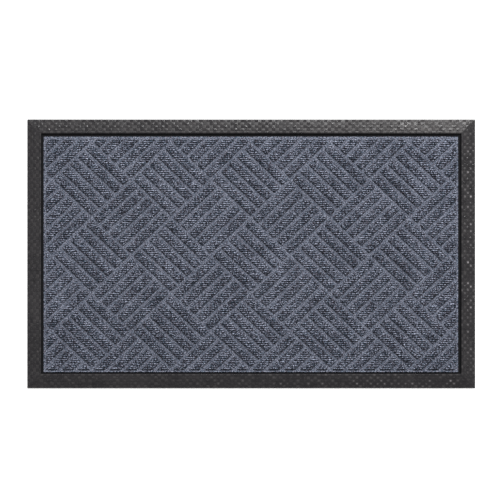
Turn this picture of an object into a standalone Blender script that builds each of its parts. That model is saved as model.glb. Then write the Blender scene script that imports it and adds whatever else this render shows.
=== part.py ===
"""A rubber-backed entrance mat: a moulded rubber tray with a bevelled border, a woven backing
scrim on the tray's floor, and a needle-punched carpet face pressed into a parquet of raised bars.

Metres, +Z up. X runs along the long side and Y along the short side. The origin is on the ground
plane, under the middle of the mat.
"""

import math

import bmesh
import bpy
from mathutils import Matrix, Vector

# Driving dimensions of the whole mat.
LENGTH = 0.750
WIDTH = 0.450
THICKNESS = 0.008

# Rubber tray: the sheet under the carpet, and the border moulded round it in one piece.
EDGE_HEIGHT = 0.0016
LIP_HEIGHT = 0.0055
BEVEL_WIDTH = 0.0200
BORDER_WIDTH = 0.0235
LIP_WALL_DRAFT = 0.0018
FLOOR_HEIGHT = 0.0018
CORNER_RADIUS = 0.0010
INNER_CORNER_RADIUS = 0.0006
CORNER_STEPS = 2

# Layers inside the tray. The clearance keeps bonded layers from sharing a face. The carpet is laid
# slightly off the tray's middle, so the groove round it is a little wider at the right and back.
LAYER_CLEARANCE = 0.0003
GROOVE_WIDTH = 0.0046
CARPET_SHIFT = (-0.0006, -0.0009)
SCRIM_THICKNESS = 0.0004
SCRIM_SETBACK = 0.0015

# Carpet face: a flat pressed ground with raised bars, five bars to a block, and the blocks laid
# like parquet at 45 degrees. A block's half diagonals set the lattice. The press plate doesn't land
# quite centred on the carpet, so the flat rim differs from side to side.
GROUND_HEIGHT = 0.0040
BLOCK_HALF_X = 0.0664
BLOCK_HALF_Y = 0.0634
PATTERN_ORIGIN = (-0.0013, 0.0602)
BARS_PER_BLOCK = 5
CHANNEL_WIDTH = 0.0052
LEFT_RIM = 0.0047
RIGHT_RIM = 0.0035
BACK_RIM = 0.0044
FRONT_RIM = 0.0034
SMALLEST_BAR_AREA = 0.00002

# Finishes.
RUBBER_COLOUR = (0.022, 0.021, 0.022)
SCRIM_COLOUR = (0.055, 0.055, 0.060)
FIBRE_COLOUR = (0.095, 0.105, 0.138)


def clear_scene():
    """Removes what the scene starts with."""
    for thing in list(bpy.data.objects):
        bpy.data.objects.remove(thing)


def make_material(name, colour, roughness):
    """A plain non-metallic Principled finish."""
    material = bpy.data.materials.new(name)
    material.use_nodes = True
    shader = material.node_tree.nodes["Principled BSDF"]
    shader.inputs["Base Color"].default_value = (*colour, 1.0)
    shader.inputs["Roughness"].default_value = roughness
    shader.inputs["Metallic"].default_value = 0.0
    material.diffuse_color = (*colour, 1.0)
    return material


def make_object(name, bm, material):
    """Turns a finished bmesh into a named object with one material."""
    bmesh.ops.recalc_face_normals(bm, faces=bm.faces)
    mesh = bpy.data.meshes.new(name)
    bm.to_mesh(mesh)
    bm.free()
    mesh.materials.append(material)
    thing = bpy.data.objects.new(name, mesh)
    bpy.context.scene.collection.objects.link(thing)
    return thing


def add_ring(bm, inset, height, radius):
    """A closed rectangle of edges, set in from the mat's outline, with rounded corners."""
    half_x = LENGTH / 2 - inset - radius
    half_y = WIDTH / 2 - inset - radius
    corners = [(half_x, half_y, 0), (-half_x, half_y, 90), (-half_x, -half_y, 180), (half_x, -half_y, 270)]
    verts = []
    for x, y, start in corners:
        for step in range(CORNER_STEPS + 1):
            angle = math.radians(start + 90 * step / CORNER_STEPS)
            verts.append(bm.verts.new((x + radius * math.cos(angle), y + radius * math.sin(angle), height)))
    return [bm.edges.new((verts[i - 1], verts[i])) for i in range(len(verts))]


def rubber_tray():
    """One solid: sole, outer edge, bevel, lip, the lip's inner wall and the floor."""
    bm = bmesh.new()
    profile = [
        (0.0, 0.0, CORNER_RADIUS),
        (0.0, EDGE_HEIGHT, CORNER_RADIUS),
        (BEVEL_WIDTH, LIP_HEIGHT, INNER_CORNER_RADIUS),
        (BORDER_WIDTH, LIP_HEIGHT, INNER_CORNER_RADIUS),
        (BORDER_WIDTH + LIP_WALL_DRAFT, FLOOR_HEIGHT, INNER_CORNER_RADIUS),
    ]
    rings = [add_ring(bm, *point) for point in profile]
    for outer, inner in zip(rings, rings[1:]):
        bmesh.ops.bridge_loops(bm, edges=outer + inner)
    bmesh.ops.contextual_create(bm, geom=rings[0])
    bmesh.ops.contextual_create(bm, geom=rings[-1])
    return make_object("rubber_tray", bm, make_material("moulded_rubber", RUBBER_COLOUR, 0.62))


def carpet_half_size():
    """Half the carpet's length and width."""
    inset = BORDER_WIDTH + GROOVE_WIDTH
    return LENGTH / 2 - inset, WIDTH / 2 - inset


def pattern_field():
    """The left, right, front and back limits of the raised bars, inside the carpet's flat rim."""
    half_x, half_y = carpet_half_size()
    shift_x, shift_y = CARPET_SHIFT
    left, right = shift_x - half_x + LEFT_RIM, shift_x + half_x - RIGHT_RIM
    front, back = shift_y - half_y + FRONT_RIM, shift_y + half_y - BACK_RIM
    return left, right, front, back


def backing_scrim():
    """The thin woven sheet that the carpet's fibres are anchored in, laid on the tray's floor."""
    half_x, half_y = carpet_half_size()
    middle = (*CARPET_SHIFT, FLOOR_HEIGHT + LAYER_CLEARANCE + SCRIM_THICKNESS / 2)
    size = (2 * (half_x - SCRIM_SETBACK), 2 * (half_y - SCRIM_SETBACK), SCRIM_THICKNESS)
    bm = bmesh.new()
    bmesh.ops.create_cube(bm, size=1.0, matrix=Matrix.Translation(middle) @ Matrix.Diagonal((*size, 1)))
    return make_object("backing_scrim", bm, make_material("woven_scrim", SCRIM_COLOUR, 0.85))


def block_place(x, y):
    """A point in the parquet's own axes: block numbers and the place inside the block, 0 to 1."""
    east = (x - PATTERN_ORIGIN[0]) / BLOCK_HALF_X
    north = (y - PATTERN_ORIGIN[1]) / BLOCK_HALF_Y
    along = (north + east) / 2
    across = (north - east) / 2
    return math.floor(along), math.floor(across), along % 1, across % 1


def on_bar(x, y):
    """Whether this point of the carpet is raised."""
    left, right, front, back = pattern_field()
    if not (left < x < right and front < y < back):
        return False
    column, row, along, across = block_place(x, y)
    if (column + row) % 2 == 0:
        along, across = across, along
    block_size = math.hypot(BLOCK_HALF_X, BLOCK_HALF_Y)
    margin = CHANNEL_WIDTH / 2 / block_size
    in_bar = margin * BARS_PER_BLOCK < across * BARS_PER_BLOCK % 1 < 1 - margin * BARS_PER_BLOCK
    return in_bar and margin < along < 1 - margin


def cut_along_channels(bm):
    """Cuts the sheet along both sides of every channel of the parquet, and inside the rim."""
    half_x, half_y = carpet_half_size()
    block_size = math.hypot(BLOCK_HALF_X, BLOCK_HALF_Y)
    reach = math.ceil((half_x / BLOCK_HALF_X + half_y / BLOCK_HALF_Y) / 2) + 1
    origin = Vector((*PATTERN_ORIGIN, 0.0))
    step_along = Vector((BLOCK_HALF_X, BLOCK_HALF_Y, 0.0)) / BARS_PER_BLOCK
    step_across = Vector((-BLOCK_HALF_X, BLOCK_HALF_Y, 0.0)) / BARS_PER_BLOCK
    side = CHANNEL_WIDTH / 2 / block_size * BARS_PER_BLOCK
    planes = []
    for line in range(-reach * BARS_PER_BLOCK, reach * BARS_PER_BLOCK + 1):
        for offset in (line - side, line + side):
            for step, direction in ((step_along, step_across), (step_across, step_along)):
                planes.append((origin + step * offset, direction.cross(Vector((0, 0, 1))).normalized()))
    left, right, front, back = pattern_field()
    for x in (left, right):
        planes.append((Vector((x, 0, 0)), Vector((1, 0, 0))))
    for y in (front, back):
        planes.append((Vector((0, y, 0)), Vector((0, 1, 0))))
    for point, normal in planes:
        geometry = bm.verts[:] + bm.edges[:] + bm.faces[:]
        bmesh.ops.bisect_plane(bm, geom=geometry, dist=1e-7, plane_co=point, plane_no=normal)


def islands(faces):
    """Groups of faces that share edges."""
    waiting = set(faces)
    groups = []
    while waiting:
        stack = [waiting.pop()]
        group = []
        while stack:
            face = stack.pop()
            group.append(face)
            for edge in face.edges:
                for neighbour in edge.link_faces:
                    if neighbour in waiting:
                        waiting.remove(neighbour)
                        stack.append(neighbour)
        groups.append(group)
    return groups


def carpet_face():
    """The needle-punched carpet: a closed sheet whose upper side rises in bars."""
    half_x, half_y = carpet_half_size()
    bottom = FLOOR_HEIGHT + 2 * LAYER_CLEARANCE + SCRIM_THICKNESS
    bm = bmesh.new()
    place = Matrix.Translation((*CARPET_SHIFT, GROUND_HEIGHT)) @ Matrix.Diagonal((half_x, half_y, 1, 1))
    bmesh.ops.create_grid(bm, x_segments=1, y_segments=1, size=1.0, matrix=place)
    cut_along_channels(bm)
    raised = [face for face in bm.faces if on_bar(*face.calc_center_median().xy)]
    bars = [bar for bar in islands(raised) if sum(face.calc_area() for face in bar) > SMALLEST_BAR_AREA]
    bar_faces = [face for bar in bars for face in bar]
    outline = [edge for edge in bm.edges if edge.is_boundary]
    walls = bmesh.ops.extrude_edge_only(bm, edges=outline)["geom"]
    sole = [thing for thing in walls if isinstance(thing, bmesh.types.BMVert)]
    for vert in sole:
        vert.co.z = bottom
    bmesh.ops.contextual_create(bm, geom=[e for e in bm.edges if e.is_boundary])
    lifted = bmesh.ops.extrude_face_region(bm, geom=bar_faces)["geom"]
    for thing in lifted:
        if isinstance(thing, bmesh.types.BMVert):
            thing.co.z = THICKNESS
    bmesh.ops.delete(bm, geom=bar_faces, context="FACES_ONLY")
    bmesh.ops.dissolve_limit(bm, angle_limit=math.radians(1), verts=bm.verts, edges=bm.edges)
    bmesh.ops.triangulate(bm, faces=bm.faces)
    return make_object("carpet_face", bm, make_material("needle_punched_fibre", FIBRE_COLOUR, 0.9))


clear_scene()
rubber_tray()
backing_scrim()
carpet_face()
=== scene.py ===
import math

import bmesh
import bpy
from mathutils import Matrix, Vector, noise


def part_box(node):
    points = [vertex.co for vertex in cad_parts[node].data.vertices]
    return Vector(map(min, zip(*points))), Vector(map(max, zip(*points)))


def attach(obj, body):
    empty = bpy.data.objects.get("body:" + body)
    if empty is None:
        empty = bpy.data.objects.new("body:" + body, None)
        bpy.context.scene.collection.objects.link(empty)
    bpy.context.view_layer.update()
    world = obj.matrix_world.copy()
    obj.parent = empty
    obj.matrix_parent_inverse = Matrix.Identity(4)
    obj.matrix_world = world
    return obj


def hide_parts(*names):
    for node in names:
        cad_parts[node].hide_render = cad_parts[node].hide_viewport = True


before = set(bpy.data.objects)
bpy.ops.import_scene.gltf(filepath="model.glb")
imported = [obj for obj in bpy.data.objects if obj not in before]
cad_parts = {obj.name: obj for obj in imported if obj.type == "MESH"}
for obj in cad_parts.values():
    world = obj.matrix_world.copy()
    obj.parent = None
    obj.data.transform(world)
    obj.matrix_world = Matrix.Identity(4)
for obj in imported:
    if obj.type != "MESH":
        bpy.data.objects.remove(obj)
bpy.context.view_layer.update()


# ---- Rubber tray -------------------------------------------------------------------------------
# The base of the mat is one press moulding of black styrene-butadiene rubber: a thin sheet with a
# border that slopes up from the floor to a flat lip. The mould embosses the slope with a basket
# weave, and leaves a mitre line across each corner.

TRAY_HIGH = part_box("rubber_tray")[1]
HALF_LENGTH = TRAY_HIGH.x
HALF_WIDTH = TRAY_HIGH.y
LIP_TOP = TRAY_HIGH.z
FLOOR_TOP = 0.0018
CORNER_RADIUS = 0.0010
SLOPE_START = (0.0006, 0.00145)
SLOPE_END = (0.0204, 0.0050)
SLOPE_CROWN = 0.00030
BASKET_CELL = (0.0058, 0.0050)
BASKET_RELIEF = 0.00044
RUN_STRAP_SHARE = 0.45
STRAP_SQUARENESS = 3
BASKET_WEAR = 1.0
EMBOSS_STEP = 0.00097
SLOPE_ROWS = 24
MITRE_CLEARANCE = 0.0012
WEAVE_CELLS = "weave_cells"
WELD_DISTANCE = 2e-6
LEVEL_TOLERANCE = 1e-6

# Inset from the outline and height, up the outer edge, then over the lip and down to the floor.
OUTER_EDGE = [(0.0, 0.0), (0.0, 0.0010), (0.00015, 0.0013)]
LIP_CREST = 0.0235
LONG_SIDE_CREST = 0.0242
LIP_AND_WALL = [
    (0.0207, 0.0053),
    (0.0212, LIP_TOP - 0.00005),
    (0.0218, LIP_TOP),
    (0.0232, LIP_TOP - 0.00001),
    (0.0234, LIP_TOP - 0.00012),
    (LIP_CREST, LIP_TOP - 0.0003),
    (0.0243, 0.0037),
    (0.0252, FLOOR_TOP + 0.0001),
    (0.0254, FLOOR_TOP),
]

# Under the sole: a flat skirt all round that lies on the floor, and a recess between its nubs.
SKIRT_WIDTH = 0.0080
RECESS_DEPTH = 0.0008
RECESS_SLOPE = 0.0008

# How far past an edge a face still counts as the groove's, and how far above the recess as the top's.
CREST_TOLERANCE = 0.00005
SOLE_TOLERANCE = 0.0001


def strap(along, across):
    """Relief of one strap of the basket where it passes over, 0 to 1, from its cell's middle."""
    return math.cos(math.pi * along) * (1 - abs(2 * across) ** STRAP_SQUARENESS)


def basket(run, inset):
    """The embossed weave's relief at a place along the side and an inset, each strap worn by itself."""
    i, j = math.floor(run / BASKET_CELL[0]), math.floor(inset / BASKET_CELL[1])
    u, v = run / BASKET_CELL[0] - i - 0.5, inset / BASKET_CELL[1] - j - 0.5
    over = RUN_STRAP_SHARE * strap(u, v) if (i + j) % 2 else strap(v, u)
    worn = 1 + BASKET_WEAR * noise.cell((i + 0.5, j + 0.5, 0.5))
    return BASKET_RELIEF * over * worn


def slope_rows():
    """Every row of the border's mesh: inset, height, and how much of the weave shows there."""
    rows = [(inset, height, 0.0) for inset, height in OUTER_EDGE]
    for step in range(SLOPE_ROWS + 1):
        share = step / SLOPE_ROWS
        inset = SLOPE_START[0] + share * (SLOPE_END[0] - SLOPE_START[0])
        height = SLOPE_START[1] + share * (SLOPE_END[1] - SLOPE_START[1])
        height += SLOPE_CROWN * 4 * share * (1 - share)
        rows.append((inset, height, 0.0 if step in (0, SLOPE_ROWS) else 1.0))
    return rows + [(inset, height, 0.0) for inset, height in LIP_AND_WALL]


def border_side(bm, half_run, reach, turn):
    """One mitred side of the border, laid along X and then turned about the middle of the mat."""
    rows = slope_rows()
    columns = round(2 * half_run / EMBOSS_STEP)
    side = bmesh.ops.create_grid(bm, x_segments=columns, y_segments=len(rows) - 1, size=0.5)["verts"]
    cells = bm.loops.layers.uv.get(WEAVE_CELLS) or bm.loops.layers.uv.new(WEAVE_CELLS)
    for vert in side:
        inset, height, embossed = rows[round((vert.co.y + 0.5) * (len(rows) - 1))]
        run = 2 * vert.co.x * (half_run - inset)
        from_mitre = half_run - inset - abs(run)
        shown = embossed * min(from_mitre / MITRE_CLEARANCE, 1.0)
        vert.co = (run, reach - inset, height + shown * basket(run, inset))
        for corner in vert.link_loops:
            corner[cells].uv = (run / BASKET_CELL[0], inset / BASKET_CELL[1])
    bmesh.ops.rotate(bm, verts=side, matrix=Matrix.Rotation(math.radians(turn), 3, "Z"))


def round_plan_corners(bm, half_x, half_y, radius):
    """Pulls the square corners of the outline in to a small radius."""
    for vert in bm.verts:
        out_x, out_y = abs(vert.co.x) - (half_x - radius), abs(vert.co.y) - (half_y - radius)
        if out_x > 0 and out_y > 0:
            pull = max(out_x, out_y) / math.hypot(out_x, out_y)
            vert.co.x = math.copysign(half_x - radius + out_x * pull, vert.co.x)
            vert.co.y = math.copysign(half_y - radius + out_y * pull, vert.co.y)


def rim_of(bm, height):
    """The open edges of the mesh that lie at one height."""
    rim = [edge for edge in bm.edges if edge.is_boundary]
    return [edge for edge in rim if all(abs(vert.co.z - height) < LEVEL_TOLERANCE for vert in edge.verts)]


def step_in(bm, edges, inset, height):
    """Carries an open rim inwards to a rectangle at that inset and height."""
    ring = bmesh.ops.extrude_edge_only(bm, edges=edges)["geom"]
    for vert in (part for part in ring if isinstance(part, bmesh.types.BMVert)):
        vert.co.x = max(inset - HALF_LENGTH, min(HALF_LENGTH - inset, vert.co.x))
        vert.co.y = max(inset - HALF_WIDTH, min(HALF_WIDTH - inset, vert.co.y))
        vert.co.z = height
    return [part for part in ring if isinstance(part, bmesh.types.BMEdge) and part.is_boundary]


def tray_mesh():
    """The whole moulding as one closed skin."""
    bm = bmesh.new()
    for turn in (0, 180):
        border_side(bm, HALF_LENGTH, HALF_WIDTH, turn)
    for turn in (90, 270):
        border_side(bm, HALF_WIDTH, HALF_LENGTH, turn)
    bmesh.ops.remove_doubles(bm, verts=bm.verts, dist=WELD_DISTANCE)
    round_plan_corners(bm, HALF_LENGTH, HALF_WIDTH, CORNER_RADIUS)
    bmesh.ops.contextual_create(bm, geom=rim_of(bm, FLOOR_TOP))
    skirt = step_in(bm, rim_of(bm, 0.0), SKIRT_WIDTH, 0.0)
    recess = step_in(bm, skirt, SKIRT_WIDTH + RECESS_SLOPE, RECESS_DEPTH)
    bmesh.ops.remove_doubles(bm, verts=bm.verts, dist=WELD_DISTANCE)
    bmesh.ops.contextual_create(bm, geom=[edge for edge in bm.edges if edge.is_boundary])
    # Faces down in the groove take the second finish, which paints them near black as shade.
    for face in bm.faces:
        above_sole = min(vert.co.z for vert in face.verts) > RECESS_DEPTH + SOLE_TOLERANCE
        from_end = min(HALF_LENGTH - abs(vert.co.x) for vert in face.verts)
        from_long_side = min(HALF_WIDTH - abs(vert.co.y) for vert in face.verts)
        in_groove = from_end > LIP_CREST - CREST_TOLERANCE and from_long_side > LONG_SIDE_CREST
        face.material_index = int(above_sole and in_groove)
    return bm


class Value:
    """A number that varies over a surface, so that shader maths reads as ordinary Python."""

    def __init__(self, finish, socket):
        self.finish = finish
        self.socket = socket

    def math(self, operation, *others):
        sockets = dict(enumerate((self, *others)))
        return self.finish.node("ShaderNodeMath", {"operation": operation}, sockets)

    def __add__(self, other):
        return self.math("ADD", other)

    def __sub__(self, other):
        return self.math("SUBTRACT", other)

    def __mul__(self, other):
        return self.math("MULTIPLY", other)

    def __pow__(self, other):
        return self.math("POWER", other)

    def __rsub__(self, other):
        return (self * -1.0).math("ADD", other)

    __radd__ = __add__
    __rmul__ = __mul__

    def clamped(self):
        return self.finish.node("ShaderNodeClamp", {}, {0: self})

    def between(self, low, high):
        """0 up to low, 1 from high, and smooth in between."""
        settings = {"interpolation_type": "SMOOTHSTEP"}
        sockets = {"Value": self, "From Min": low, "From Max": high}
        return self.finish.node("ShaderNodeMapRange", settings, sockets)

    def beside(self, output):
        """Another output of the node that this value comes from."""
        return Value(self.finish, self.socket.node.outputs[output])


# The sockets of a Mix node that mixes colours, by number, because several of them share a name.
MIX_SHARE = 0
MIX_ONE = 6
MIX_OTHER = 7
MIX_COLOUR = 2


class Finish:
    """A material under construction: its Principled shader and the nodes that feed it."""

    def __init__(self, name, **sockets):
        self.material = bpy.data.materials.new(name)
        self.material.use_nodes = True
        self.tree = self.material.node_tree
        self.shader = self.tree.nodes["Principled BSDF"]
        for socket, value in sockets.items():
            self.shader.inputs[socket.replace("_", " ")].default_value = value
        self.place = self.node("ShaderNodeTexCoord", {}, {}, "Object")

    def join(self, value, socket):
        if isinstance(value, Value):
            self.tree.links.new(value.socket, socket)
        else:
            socket.default_value = value

    def node(self, kind, settings, sockets, output=0):
        """Adds a node, sets it up, joins its sockets, and returns one of its outputs."""
        made = self.tree.nodes.new(kind)
        for name, value in settings.items():
            setattr(made, name, value)
        for name, value in sockets.items():
            self.join(value, made.inputs[name])
        return Value(self, made.outputs[output])

    def stretched(self, scale, turn=0.0):
        """The object's own coordinates, scaled per metre and turned about Z."""
        sockets = {"Vector": self.place, "Scale": scale, "Rotation": (0.0, 0.0, turn)}
        return self.node("ShaderNodeMapping", {}, sockets)

    def noise(self, scale, detail=2.0, turn=0.0, distortion=0.0):
        """A noise with so many features a metre along each axis, from 0 to 1."""
        scale = scale if isinstance(scale, tuple) else (scale, scale, scale)
        sockets = {
            "Vector": self.stretched(scale, turn),
            "Scale": 1.0,
            "Detail": detail,
            "Distortion": distortion,
        }
        return self.node("ShaderNodeTexNoise", {}, sockets, "Fac")

    def blend(self, share, one, other):
        """One colour where share is 0, the other where it is 1."""
        one, other = ((*value, 1.0) if isinstance(value, tuple) else value for value in (one, other))
        sockets = {MIX_SHARE: share, MIX_ONE: one, MIX_OTHER: other}
        return self.node("ShaderNodeMix", {"data_type": "RGBA"}, sockets, MIX_COLOUR)

    def feed(self, socket, value):
        self.join(value, self.shader.inputs[socket])

    def attribute(self, name):
        """A number that the mesh carries at its vertices."""
        return self.node("ShaderNodeAttribute", {"attribute_name": name}, {}, "Fac")

    def bump(self, height, depth):
        """Raises the surface's finest detail by up to depth, in metres."""
        self.feed("Normal", self.node("ShaderNodeBump", {}, {"Height": height, "Distance": depth}))


RUBBER = (0.0132, 0.0121, 0.0138)
RUBBER_BLOOM = (0.034, 0.031, 0.033)
RUBBER_WORN = (0.060, 0.055, 0.055)
# Painted highlights: pale glints on the crests, and a sheen on the back border.
RUBBER_PAINTED_GLINT = (0.250, 0.236, 0.245)
RUBBER_PAINTED_SHEEN = (0.105, 0.099, 0.098)
# Painted shade for the groove.
GROOVE_PAINTED_SHADE = (0.005, 0.005, 0.006)
STRANDS_PER_STRAP = 3
RUBBER_BUMP = 0.00030

# How many features a metre: mould grain, specks of wear, patches of bloom, and patches of painted glints.
GRAIN_SCALE = 1900.0
SPECK_SCALE = 520.0
BLOOM_SCALE = 14.0
GLINT_PATCH_SCALE = 45.0

# From where to where the painted sheen and the painted glints come on, in metres east or north of the
# middle, or past the back right corner's mitre line.
BACK_BORDER = (0.195, 0.203)
BACK_MITRE = (0.0, 0.004)
SHEEN_RUN = (0.04, 0.36)
GLINT_RUN = (-0.20, 0.36)
GLINT_BACK_LIMIT = (0.17, 0.22)

GROOVE_DUST_SCALE = 260.0
GROOVE_BUMP = 0.0001


def rubber_finish():
    """Black rubber: glossy straps across the border and dull ones along it, rubbed, with a painted sheen
    on the back border towards the right, and painted glints on the crests of the glossy straps, most of
    all towards the right-hand end."""
    finish = Finish("moulded_rubber_look", Specular_IOR_Level=0.28)
    weave = finish.node("ShaderNodeUVMap", {"uv_map": WEAVE_CELLS}, {})
    along = finish.node("ShaderNodeSeparateXYZ", {}, {"Vector": weave}, "X")
    across = along.beside("Y")
    dull = finish.node("ShaderNodeTexChecker", {}, {"Vector": weave, "Scale": 1.0}, "Fac")
    cell = finish.node("ShaderNodeVectorMath", {"operation": "FLOOR"}, {0: weave}, "Vector")
    chance = finish.node("ShaderNodeTexWhiteNoise", {"noise_dimensions": "2D"}, {"Vector": cell}, "Value")
    turn = 2 * math.pi * STRANDS_PER_STRAP
    strands = dull * (across * turn).math("COSINE") + (1 - dull) * (along * turn).math("COSINE")
    grain = finish.noise(GRAIN_SCALE, detail=3.0)
    speck = finish.noise(SPECK_SCALE, detail=2.0)
    bloom = finish.noise(BLOOM_SCALE, detail=4.0, distortion=0.6).between(0.45, 0.72)
    rubbed = speck.between(0.57, 0.72) * 0.58 + (1 - dull) * chance * 0.30
    dark = finish.blend(bloom * 0.30, RUBBER, RUBBER_BLOOM)
    colour = finish.blend(rubbed, dark, RUBBER_WORN)
    dome = ((along.math("FRACT") - 0.5) * math.pi).math("COSINE")
    dome = dome * ((across.math("FRACT") - 0.5) * math.pi).math("COSINE")
    east = finish.node("ShaderNodeSeparateXYZ", {}, {"Vector": finish.place}, "X")
    north = east.beside("Y")
    # Painted sheen: the back border is made paler towards the right, in specks, up to the mitre line, where
    # the lamps' reflection falls.
    past_mitre = (north - east + HALF_LENGTH - HALF_WIDTH).between(*BACK_MITRE)
    on_back = past_mitre * north.between(*BACK_BORDER)
    painted_sheen = on_back * east.between(*SHEEN_RUN) * speck.between(0.30, 0.70)
    colour = finish.blend(painted_sheen * 0.60, colour, RUBBER_PAINTED_SHEEN)
    # Painted glints: pale spots on the crests of the glossy straps, mostly on the border's outer rows,
    # towards the right-hand end, strongest in random cells.
    glint_region = east.between(*GLINT_RUN) * (1 - north.between(*GLINT_BACK_LIMIT))
    glint_region = glint_region * across.between(0.2, 1.4) * (1 - across.between(1.8, 3.6) * 0.8)
    glint_region = glint_region * (0.25 + finish.noise(GLINT_PATCH_SCALE, detail=2.0).between(0.42, 0.60) * 0.75)
    painted_glints = dome.between(0.48, 0.93) * (1 - dull) * (0.05 + chance ** 2.0 * 1.25) * glint_region
    finish.feed("Base Color", finish.blend(painted_glints, colour, RUBBER_PAINTED_GLINT))
    finish.feed("Roughness", 0.17 + dull * 0.30 + chance * 0.34 + grain * 0.08)
    finish.bump(grain * 0.30 + speck * 0.70 + strands * 0.12, RUBBER_BUMP)
    return finish


def shaded_groove_finish():
    """The same rubber down in the groove, matt, painted near black as shade, with moulding dust."""
    finish = Finish("groove_painted_shade_look", Specular_IOR_Level=0.12, Roughness=0.8)
    dust = finish.noise(GROOVE_DUST_SCALE, detail=4.0)
    finish.feed("Base Color", finish.blend(dust.between(0.5, 0.8) * 0.5, GROOVE_PAINTED_SHADE, RUBBER))
    finish.bump(dust, GROOVE_BUMP)
    return finish


SHARP_EDGE = math.radians(48)


def settle(name, bm, finishes, node):
    """Makes a finished mesh a piece that rides with the mat and stands for a CAD node."""
    bmesh.ops.recalc_face_normals(bm, faces=bm.faces)
    for face in bm.faces:
        face.smooth = True
    for edge in bm.edges:
        edge.smooth = edge.calc_face_angle(0.0) < SHARP_EDGE
    mesh = bpy.data.meshes.new(name)
    bm.to_mesh(mesh)
    bm.free()
    for finish in finishes:
        mesh.materials.append(finish.material)
    piece = bpy.data.objects.new(name, mesh)
    bpy.context.scene.collection.objects.link(piece)
    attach(piece, "root")
    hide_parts(node)
    return piece


rubber = rubber_finish()
tray = settle("tray_moulding", tray_mesh(), [rubber, shaded_groove_finish()], "rubber_tray")


# ---- Sole nubs ---------------------------------------------------------------------------------
# Small blunt studs of the same rubber, moulded under the sole in staggered rows. They grip the
# floor and let water drain between them. Their feet are level with the skirt.

SOLE_DUST = (0.055, 0.053, 0.052)
SOLE_DUST_SCALE = 90.0
SOLE_GRAIN_SCALE = 1500.0
SOLE_BUMP = 0.0001
NUB_PITCH = 0.0125
NUB_FOOT = 0.0018
NUB_ROOT = 0.0026
NUB_SIDES = 8
NUB_BURIED = 0.0002
NUB_MARGIN = SKIRT_WIDTH + RECESS_SLOPE + NUB_ROOT


def sole_finish():
    """The tray's rubber where it is out of sight: duller, with mould grain and a little dust."""
    finish = Finish("sole_rubber_look", Roughness=0.62)
    grain = finish.noise(SOLE_GRAIN_SCALE, detail=3.0)
    dust = finish.noise(SOLE_DUST_SCALE, detail=4.0).between(0.5, 0.75)
    finish.feed("Base Color", finish.blend(dust * 0.5, RUBBER, SOLE_DUST))
    finish.bump(grain, SOLE_BUMP)
    return finish


def nubs_mesh():
    """Every nub as its own small closed frustum, its root buried in the sole."""
    bm = bmesh.new()
    height = RECESS_DEPTH + NUB_BURIED
    rows = int(2 * (HALF_WIDTH - NUB_MARGIN) / NUB_PITCH)
    columns = int(2 * (HALF_LENGTH - NUB_MARGIN) / NUB_PITCH)
    for row in range(rows + 1):
        stagger = 0.5 * (row % 2)
        for column in range(columns + 1 - row % 2):
            x = (column + stagger - columns / 2) * NUB_PITCH
            y = (row - rows / 2) * NUB_PITCH
            bmesh.ops.create_cone(
                bm,
                cap_ends=True,
                segments=NUB_SIDES,
                radius1=NUB_FOOT,
                radius2=NUB_ROOT,
                depth=height,
                matrix=Matrix.Translation((x, y, height / 2)),
            )
    return bm


settle("sole_nubs", nubs_mesh(), [sole_finish()], "rubber_tray")


# ---- Backing scrim -----------------------------------------------------------------------------
# A thin cloth of flat woven polypropylene tapes. The carpet's fibres are needled through it, and
# it is bonded to the tray's floor over its whole area, so nothing of it shows.

SCRIM_LOW, SCRIM_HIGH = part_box("backing_scrim")
TAPE_WIDTH = 0.0024
SCRIM_CELLS = (120, 68)
TAPE_DARK = (0.040, 0.040, 0.044)
TAPE_PALE = (0.085, 0.085, 0.092)
TAPE_SHEEN_SCALE = (60.0, 900.0, 60.0)
TAPE_BUMP = 0.0001


def closed_sheet(low, high, cells):
    """A closed sheet between two corners: a grid on top, and a flat underside."""
    bm = bmesh.new()
    middle = (low + high) / 2
    place = Matrix.Translation((middle.x, middle.y, high.z)) @ Matrix.Diagonal((*(high - low).xy / 2, 1, 1))
    bmesh.ops.create_grid(bm, x_segments=cells[0], y_segments=cells[1], size=1.0, matrix=place)
    rim = [edge for edge in bm.edges if edge.is_boundary]
    walls = bmesh.ops.extrude_edge_only(bm, edges=rim)["geom"]
    for vert in (part for part in walls if isinstance(part, bmesh.types.BMVert)):
        vert.co.z = low.z
    bmesh.ops.contextual_create(bm, geom=[edge for edge in bm.edges if edge.is_boundary])
    return bm


def scrim_finish():
    """Warp and weft tapes crossing one over one."""
    finish = Finish("woven_scrim_look", Roughness=0.6)
    count = 1 / TAPE_WIDTH
    checks = {"Vector": finish.stretched((count, count, 0.0)), "Scale": 1.0}
    over = finish.node("ShaderNodeTexChecker", {}, checks, "Fac")
    sheen = finish.noise(TAPE_SHEEN_SCALE, detail=2.0)
    finish.feed("Base Color", finish.blend((over * 0.6 + sheen * 0.4).clamped(), TAPE_DARK, TAPE_PALE))
    finish.bump(over * 0.7 + sheen * 0.3, TAPE_BUMP)
    return finish


scrim = settle(
    "scrim_cloth",
    closed_sheet(SCRIM_LOW, SCRIM_HIGH, SCRIM_CELLS),
    [scrim_finish()],
    "backing_scrim",
)


# ---- Carpet ground -----------------------------------------------------------------------------
# The carpet is blue-grey polypropylene staple, needle-punched into a ribbed felt. A hot plate
# presses it flat along the rim and between the bars, where the fibres fuse, smooth and paler.

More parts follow.
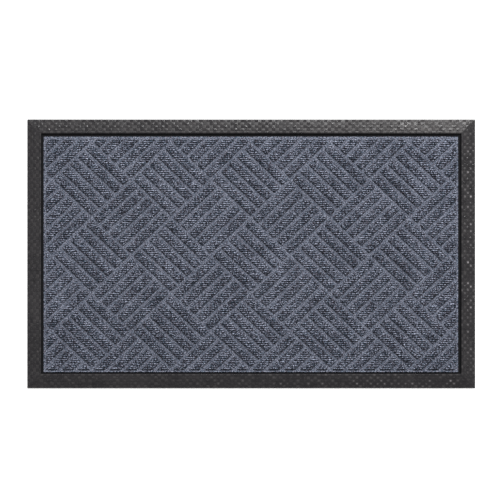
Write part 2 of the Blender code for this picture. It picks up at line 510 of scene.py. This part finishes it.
CARPET_LOW, CARPET_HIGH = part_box("carpet_face")
GROUND_TOP = 0.0040
RIB_PITCH = 0.003575
GROUND_CELLS = (205, 442)
GROUND_RIB_RELIEF = 0.00006
GROUND_UNEVEN = 0.00010
EDGE_ROLL = 0.0028
EDGE_DROP = 0.0009
EDGE_FRAY = 0.0005
FRONT_TURN_UP = 0.0007
UNDERSIDE_STRIP = 0.04
WALL_STRIP = 0.005
TOP_STRIP = 0.93
STRIP_EDGE = 0.003
STRIP_INSIDE = 1 - 2 * STRIP_EDGE
SLOPE_STILL_UP = 0.02
FRAY_SCALE = 400
UNEVEN_SCALE = 250
FRONT_TOLERANCE = 0.0001


def from_edge(x, y):
    """How far a place lies inside the carpet's nearest edge."""
    return min(x - CARPET_LOW.x, CARPET_HIGH.x - x, y - CARPET_LOW.y, CARPET_HIGH.y - y)


def lay_flat(bm, low, high):
    """Maps the top from above over most of the square, with strips for the underside and each wall."""
    bmesh.ops.recalc_face_normals(bm, faces=bm.faces)
    places = bm.loops.layers.uv.new("OFBake")
    for face in bm.faces:
        across, up = (0, 1), UNDERSIDE_STRIP
        facing = max(range(3), key=lambda axis: abs(face.normal[axis]))
        if face.normal.z > SLOPE_STILL_UP:
            start, up = 1 - TOP_STRIP, TOP_STRIP
        elif facing == 2:
            start = 0.0
        else:
            start = UNDERSIDE_STRIP + WALL_STRIP * (2 * facing + int(face.normal[facing] > 0))
            across, up = (1 - facing, 2), WALL_STRIP
        for corner in face.loops:
            spot = [(corner.vert.co[axis] - low[axis]) / (high[axis] - low[axis]) for axis in across]
            u, v = (STRIP_EDGE + STRIP_INSIDE * share for share in spot)
            corner[places].uv = (u, start + up * v)


def ground_mesh():
    """The pressed sheet, its ribs ironed almost flat. Its ragged edge rolls down, or up at the front."""
    top = Vector((CARPET_HIGH.x, CARPET_HIGH.y, GROUND_TOP))
    bm = closed_sheet(CARPET_LOW, top, GROUND_CELLS)
    for vert in bm.verts:
        x, y, z = vert.co
        edge = from_edge(x, y)
        if edge < EDGE_ROLL:
            pull = EDGE_FRAY * noise.noise((x * FRAY_SCALE, y * FRAY_SCALE, 3.0)) * (1 - edge / EDGE_ROLL)
            vert.co.x -= math.copysign(abs(pull), x)
            vert.co.y -= math.copysign(abs(pull), y)
        if z > CARPET_LOW.z + LEVEL_TOLERANCE:
            rib = math.cos(2 * math.pi * y / RIB_PITCH)
            uneven = noise.noise((x * UNEVEN_SCALE, y * UNEVEN_SCALE, 0.0))
            rise = -FRONT_TURN_UP if y - CARPET_LOW.y < edge + FRONT_TOLERANCE else EDGE_DROP
            drop = rise * max(0.0, 1 - edge / EDGE_ROLL) ** 2
            vert.co.z -= drop + GROUND_RIB_RELIEF * (1 + rib) / 2 + GROUND_UNEVEN * (1 + uneven) / 2
    lay_flat(bm, CARPET_LOW, top)
    return bm


PRESSED_DARK = (0.018, 0.021, 0.031)
PRESSED_MID = (0.0755, 0.085, 0.117)
PRESSED_PALE = (0.274, 0.292, 0.356)
WARM_DYE = (0.150, 0.115, 0.135)
COOL_DYE = (0.075, 0.135, 0.190)
# Painted shade for the slots between the ribs.
SLOT_PAINTED_SHADE = (0.003, 0.004, 0.007)

# How many features a metre, along each axis where they are stretched.
STRAND_SCALE = (300.0, 1300.0, 600.0)
CROSS_STRAND_SCALE = (1200.0, 420.0, 600.0)
FLECK_SCALE = (560.0, 760.0, 500.0)
DYE_SCALE = (480.0, 640.0, 500.0)
SLOT_SWAY_SCALE = (330.0, 260.0, 300.0)
SLOT_BREAK_SCALE = (330.0, 700.0, 300.0)
BLOTCH_SCALE = 30.0
FIBRE_BUMP = 0.0009


def fibre_finish(name, dark, mid, pale, lofty):
    """Melange of dyed staple: fine flecks and short strands, and wavy slots between lofty ribs painted near
    black as shade.
    """
    finish = Finish(name, Roughness=0.9, Specular_IOR_Level=0.15, Sheen_Weight=0.06, Sheen_Roughness=0.5)
    along = finish.noise(STRAND_SCALE, detail=2.0, turn=0.45, distortion=0.8)
    aslant = finish.noise(CROSS_STRAND_SCALE, detail=2.0, turn=-0.4, distortion=0.8)
    flecks = finish.noise(FLECK_SCALE, detail=1.0)
    blotch = finish.noise(BLOTCH_SCALE, detail=3.0)
    strands = (along + aslant) * 0.5
    shade = 0.5 + (strands - 0.5) * 3.2 + (flecks - 0.5) * 4.6 + (blotch - 0.5) * 0.6
    colour = finish.blend(shade.between(-0.05, 0.62), dark, mid)
    colour = finish.blend(shade.between(0.56, 1.20), colour, pale)
    dyed = finish.noise(DYE_SCALE, detail=1.0, turn=1.1)
    colour = finish.blend(dyed.between(0.54, 0.68) * 0.40, colour, WARM_DYE)
    colour = finish.blend((1 - dyed).between(0.54, 0.68) * 0.40, colour, COOL_DYE)
    if lofty:
        lay = finish.attribute("lay") + (finish.noise(SLOT_SWAY_SCALE, detail=1.0) - 0.5) * 0.9
        crest = (lay * math.pi).math("SINE").math("ABSOLUTE")
        # The slots between the ribs are painted near black as shade, broken here and there.
        slot = 1 - crest.between(0.42, 0.99)
        broken = finish.noise(SLOT_BREAK_SCALE, detail=1.0, turn=0.6).between(0.32, 0.52)
        colour = finish.blend(slot * (0.68 + broken * 0.31), colour, SLOT_PAINTED_SHADE)
    finish.feed("Base Color", colour)
    finish.bump(strands * 0.4 + flecks * 0.6, FIBRE_BUMP)
    return finish


ground = settle(
    "carpet_ground",
    ground_mesh(),
    [fibre_finish("pressed_fibre_look", PRESSED_DARK, PRESSED_MID, PRESSED_PALE, lofty=False)],
    "carpet_face",
)


# ---- Carpet bars -------------------------------------------------------------------------------
# Where the plate is cut away the felt stands up in bars, five to a block, and the blocks are laid
# like parquet at 45 degrees. Each bar keeps the felt's full loft, crossed by its fine ribs.

BLOCK_HALF_X = 0.0664
BLOCK_HALF_Y = 0.0634
PATTERN_ORIGIN = Vector((-0.0013, 0.0602))
BARS_PER_BLOCK = 5
CHANNEL_WIDTH = 0.0052
LEFT_RIM = 0.0047
RIGHT_RIM = 0.0035
BACK_RIM = 0.0044
FRONT_RIM = 0.0034
BAR_SUNK = 0.0002
BAR_RISE = CARPET_HIGH.z - GROUND_TOP + BAR_SUNK
SHOULDER = 0.0026
CROWN = 0.26
RIB_DEPTH = 0.0011
RIB_STEPS = 5
RIB_WANDER = 0.0005
RIB_WANDER_SCALE = 110
RIB_ROUNDNESS = 0.6
LOFT_UNEVEN = 0.0003
LOFT_UNEVEN_SCALE = 160
CUT_TOLERANCE = 1e-7
ACROSS = (-1.0, -0.93, -0.74, -0.42, 0.0, 0.42, 0.74, 0.93, 1.0)
SHOULDER_CUTS = (0.0005, 0.0014)
SMALLEST_BAR_AREA = 0.00002

EAST = Vector((BLOCK_HALF_X, BLOCK_HALF_Y))
WEST = Vector((-BLOCK_HALF_X, BLOCK_HALF_Y))
BLOCK_SIZE = EAST.length
FIELD_LOW = Vector((CARPET_LOW.x + LEFT_RIM, CARPET_LOW.y + FRONT_RIM))
FIELD_HIGH = Vector((CARPET_HIGH.x - RIGHT_RIM, CARPET_HIGH.y - BACK_RIM))


def rounded(distance):
    """A quarter round: 0 at the outline, 1 from the shoulder's width inwards."""
    inward = max(0.0, min(distance / SHOULDER, 1.0))
    return math.sqrt(1 - (1 - inward) ** 2)


def rib(y):
    """The ribs' height at y, from 0 in a slot to 1 along a crest."""
    return abs(math.sin(math.pi * y / RIB_PITCH)) ** RIB_ROUNDNESS


def cut(bm, point, normal, trim):
    """Adds a line of edges for a rounded end to turn on, or trims away the normal's side of it."""
    bmesh.ops.bisect_plane(
        bm,
        geom=bm.verts[:] + bm.edges[:] + bm.faces[:],
        dist=CUT_TOLERANCE,
        plane_co=(*point, 0.0),
        plane_no=(*normal, 0.0),
        clear_outer=trim,
    )


def bar_mesh(start, length, width):
    """One ribbed bar, from the middle of its first end along length, with width across it."""
    bm = bmesh.new()
    corners = [start + length * end + width * (side - 0.5) for end in (0, 1) for side in (0, 1)]
    step = RIB_PITCH / RIB_STEPS
    first = math.floor(min(corner.y for corner in corners) / step)
    last = math.ceil(max(corner.y for corner in corners) / step)
    if last <= first:
        return None
    rows, columns = last - first, len(ACROSS) - 1
    half_row = abs(width.x - width.y * length.x / length.y) / 2
    bmesh.ops.create_grid(bm, x_segments=columns, y_segments=rows, size=0.5)
    for vert in bm.verts:
        y = (first + round((vert.co.y + 0.5) * rows)) * step
        middle = start.x + (y - start.y) * length.x / length.y
        vert.co = (middle + ACROSS[round((vert.co.x + 0.5) * columns)] * half_row, y, 0.0)
    end_normal = Vector((-width.y, width.x)).normalized()
    if end_normal.dot(length) < 0:
        end_normal.negate()
    side_normal = Vector((-length.y, length.x)).normalized()
    half_side = abs(width.dot(side_normal)) / 2
    lines = [(start + length, end_normal), (start, -end_normal)]
    lines += [(FIELD_HIGH, Vector((1, 0))), (FIELD_HIGH, Vector((0, 1)))]
    lines += [(FIELD_LOW, Vector((-1, 0))), (FIELD_LOW, Vector((0, -1)))]
    near = []
    for point, normal in lines:
        if any((corner - point).dot(normal) > -SHOULDER for corner in corners):
            near.append((point, normal))
    for point, normal in near:
        cut(bm, point, normal, trim=True)
        for inward in SHOULDER_CUTS:
            cut(bm, point - normal * inward, normal, trim=False)
    if sum(face.calc_area() for face in bm.faces) < SMALLEST_BAR_AREA:
        bm.free()
        return None
    lay = bm.verts.layers.float.new("lay")
    for vert in bm.verts:
        place = vert.co.xy
        side = half_side - abs((place - start).dot(side_normal))
        form = rounded(side)
        for point, normal in near:
            form *= rounded((point - place).dot(normal))
        crown = 1 - CROWN * (1 - side / half_side) ** 2
        loft_spot = (place.x * LOFT_UNEVEN_SCALE, place.y * LOFT_UNEVEN_SCALE, 7.0)
        uneven = LOFT_UNEVEN * (noise.noise(loft_spot) - 0.5)
        vert[lay] = place.y / RIB_PITCH
        slot = RIB_DEPTH * (1 - rib(place.y))
        vert.co.z = GROUND_TOP - BAR_SUNK + form * (BAR_RISE * crown + uneven - slot)
        wander_spot = (place.x * RIB_WANDER_SCALE, place.y * RIB_WANDER_SCALE, 11.0)
        vert.co.y += RIB_WANDER * noise.noise(wander_spot) * form
    # Known fault: at its corners the top lies flat on this underside, and four bars end up inside out.
    bmesh.ops.contextual_create(bm, geom=[edge for edge in bm.edges if edge.is_boundary])
    return bm


def block_bars(column, row):
    """The start, length and width of each bar in one block of the parquet."""
    corner = PATTERN_ORIGIN + EAST * column + WEST * row
    length, stack = (WEST, EAST) if (column + row) % 2 == 0 else (EAST, WEST)
    margin = CHANNEL_WIDTH / 2 / BLOCK_SIZE
    for bar in range(BARS_PER_BLOCK):
        start = corner + stack * ((bar + 0.5) / BARS_PER_BLOCK) + length * margin
        yield start, length * (1 - 2 * margin), stack * (1 / BARS_PER_BLOCK - 2 * margin)


def bars_mesh(leaning_left):
    """Every bar that leans one way, joined in one mesh."""
    reach = math.ceil((CARPET_HIGH.x / BLOCK_HALF_X + CARPET_HIGH.y / BLOCK_HALF_Y) / 2) + 1
    everything = bmesh.new()
    everything.verts.layers.float.new("lay")
    for column in range(-reach - 1, reach + 1):
        for row in range(-reach - 1, reach + 1):
            if ((column + row) % 2 == 0) != leaning_left:
                continue
            for start, length, width in block_bars(column, row):
                middle = start + length / 2
                if abs(middle.x) > CARPET_HIGH.x + BLOCK_SIZE / 2:
                    continue
                if abs(middle.y) > CARPET_HIGH.y + BLOCK_SIZE / 2:
                    continue
                bar = bar_mesh(start, length, width)
                if bar is None:
                    continue
                mesh = bpy.data.meshes.new("bar")
                bar.to_mesh(mesh)
                bar.free()
                everything.from_mesh(mesh)
                bpy.data.meshes.remove(mesh)
    lay_flat(everything, FIELD_LOW.to_3d(), (*FIELD_HIGH, CARPET_HIGH.z))
    return everything


LOFT_DARK = (0.005, 0.006, 0.010)
LOFT_MID = (0.0525, 0.0610, 0.0920)
LOFT_PALE = (0.405, 0.437, 0.548)
ribbed = fibre_finish("ribbed_fibre_look", LOFT_DARK, LOFT_MID, LOFT_PALE, lofty=True)
bars = [
    settle(name, bars_mesh(leaning_left), [ribbed], "carpet_face")
    for name, leaning_left in (("bars_leaning_left", True), ("bars_leaning_right", False))
]


# ---- Studio ------------------------------------------------------------------------------------
# A pale floor, a large soft lamp high to the back right, a small weak one that glances off the back
# border, a weak one at the left, an even surround, and a long lens looking straight down.

FLOOR_SIZE = 12.0
FLOOR_WHITE = (0.95, 0.95, 0.95)
SURROUND = 0.50
KEY_PLACE = Vector((0.60, 2.16, 2.36))
KEY_SIZE = 1.2
KEY_POWER = 113.0
GLARE_PLACE = Vector((0.62, 0.98, 1.75))
GLARE_SIZE = 0.20
GLARE_POWER = 8.8
FILL_PLACE = Vector((-1.05, 0.10, 1.60))
FILL_SIZE = 0.90
FILL_POWER = 2.8
CAMERA_PLACE = Vector((-0.0021, 0.0063, 2.3275))
CAMERA_LENS = 100.0

studio = bmesh.new()
bmesh.ops.create_grid(studio, x_segments=1, y_segments=1, size=FLOOR_SIZE / 2)
floor_mesh = bpy.data.meshes.new("studio_floor")
studio.to_mesh(floor_mesh)
studio.free()
floor = bpy.data.objects.new("studio_floor", floor_mesh)
bpy.context.scene.collection.objects.link(floor)
paper = Finish("studio_paper", Base_Color=(*FLOOR_WHITE, 1.0), Roughness=0.9, Specular_IOR_Level=0.1)
floor_mesh.materials.append(paper.material)


def soft_lamp(name, place, size, power):
    """A square soft box at a place, facing the middle of the mat."""
    lamp = bpy.data.lights.new(name, "AREA")
    lamp.shape = "SQUARE"
    lamp.size = size
    lamp.energy = power
    thing = bpy.data.objects.new(name, lamp)
    thing.location = place
    thing.rotation_euler = (-place).to_track_quat("-Z", "Y").to_euler()
    bpy.context.scene.collection.objects.link(thing)


soft_lamp("key_softbox", KEY_PLACE, KEY_SIZE, KEY_POWER)
soft_lamp("glare_softbox", GLARE_PLACE, GLARE_SIZE, GLARE_POWER)
soft_lamp("fill_softbox", FILL_PLACE, FILL_SIZE, FILL_POWER)

world = bpy.data.worlds.new("surround")
world.use_nodes = True
world.node_tree.nodes["Background"].inputs["Color"].default_value = (1.0, 1.0, 1.0, 1.0)
world.node_tree.nodes["Background"].inputs["Strength"].default_value = SURROUND
bpy.context.scene.world = world

lens = bpy.data.cameras.new("overhead")
lens.lens = CAMERA_LENS
camera = bpy.data.objects.new("overhead", lens)
camera.location = CAMERA_PLACE
bpy.context.scene.collection.objects.link(camera)
bpy.context.scene.camera = camera
bpy.context.scene.view_settings.view_transform = "Standard"
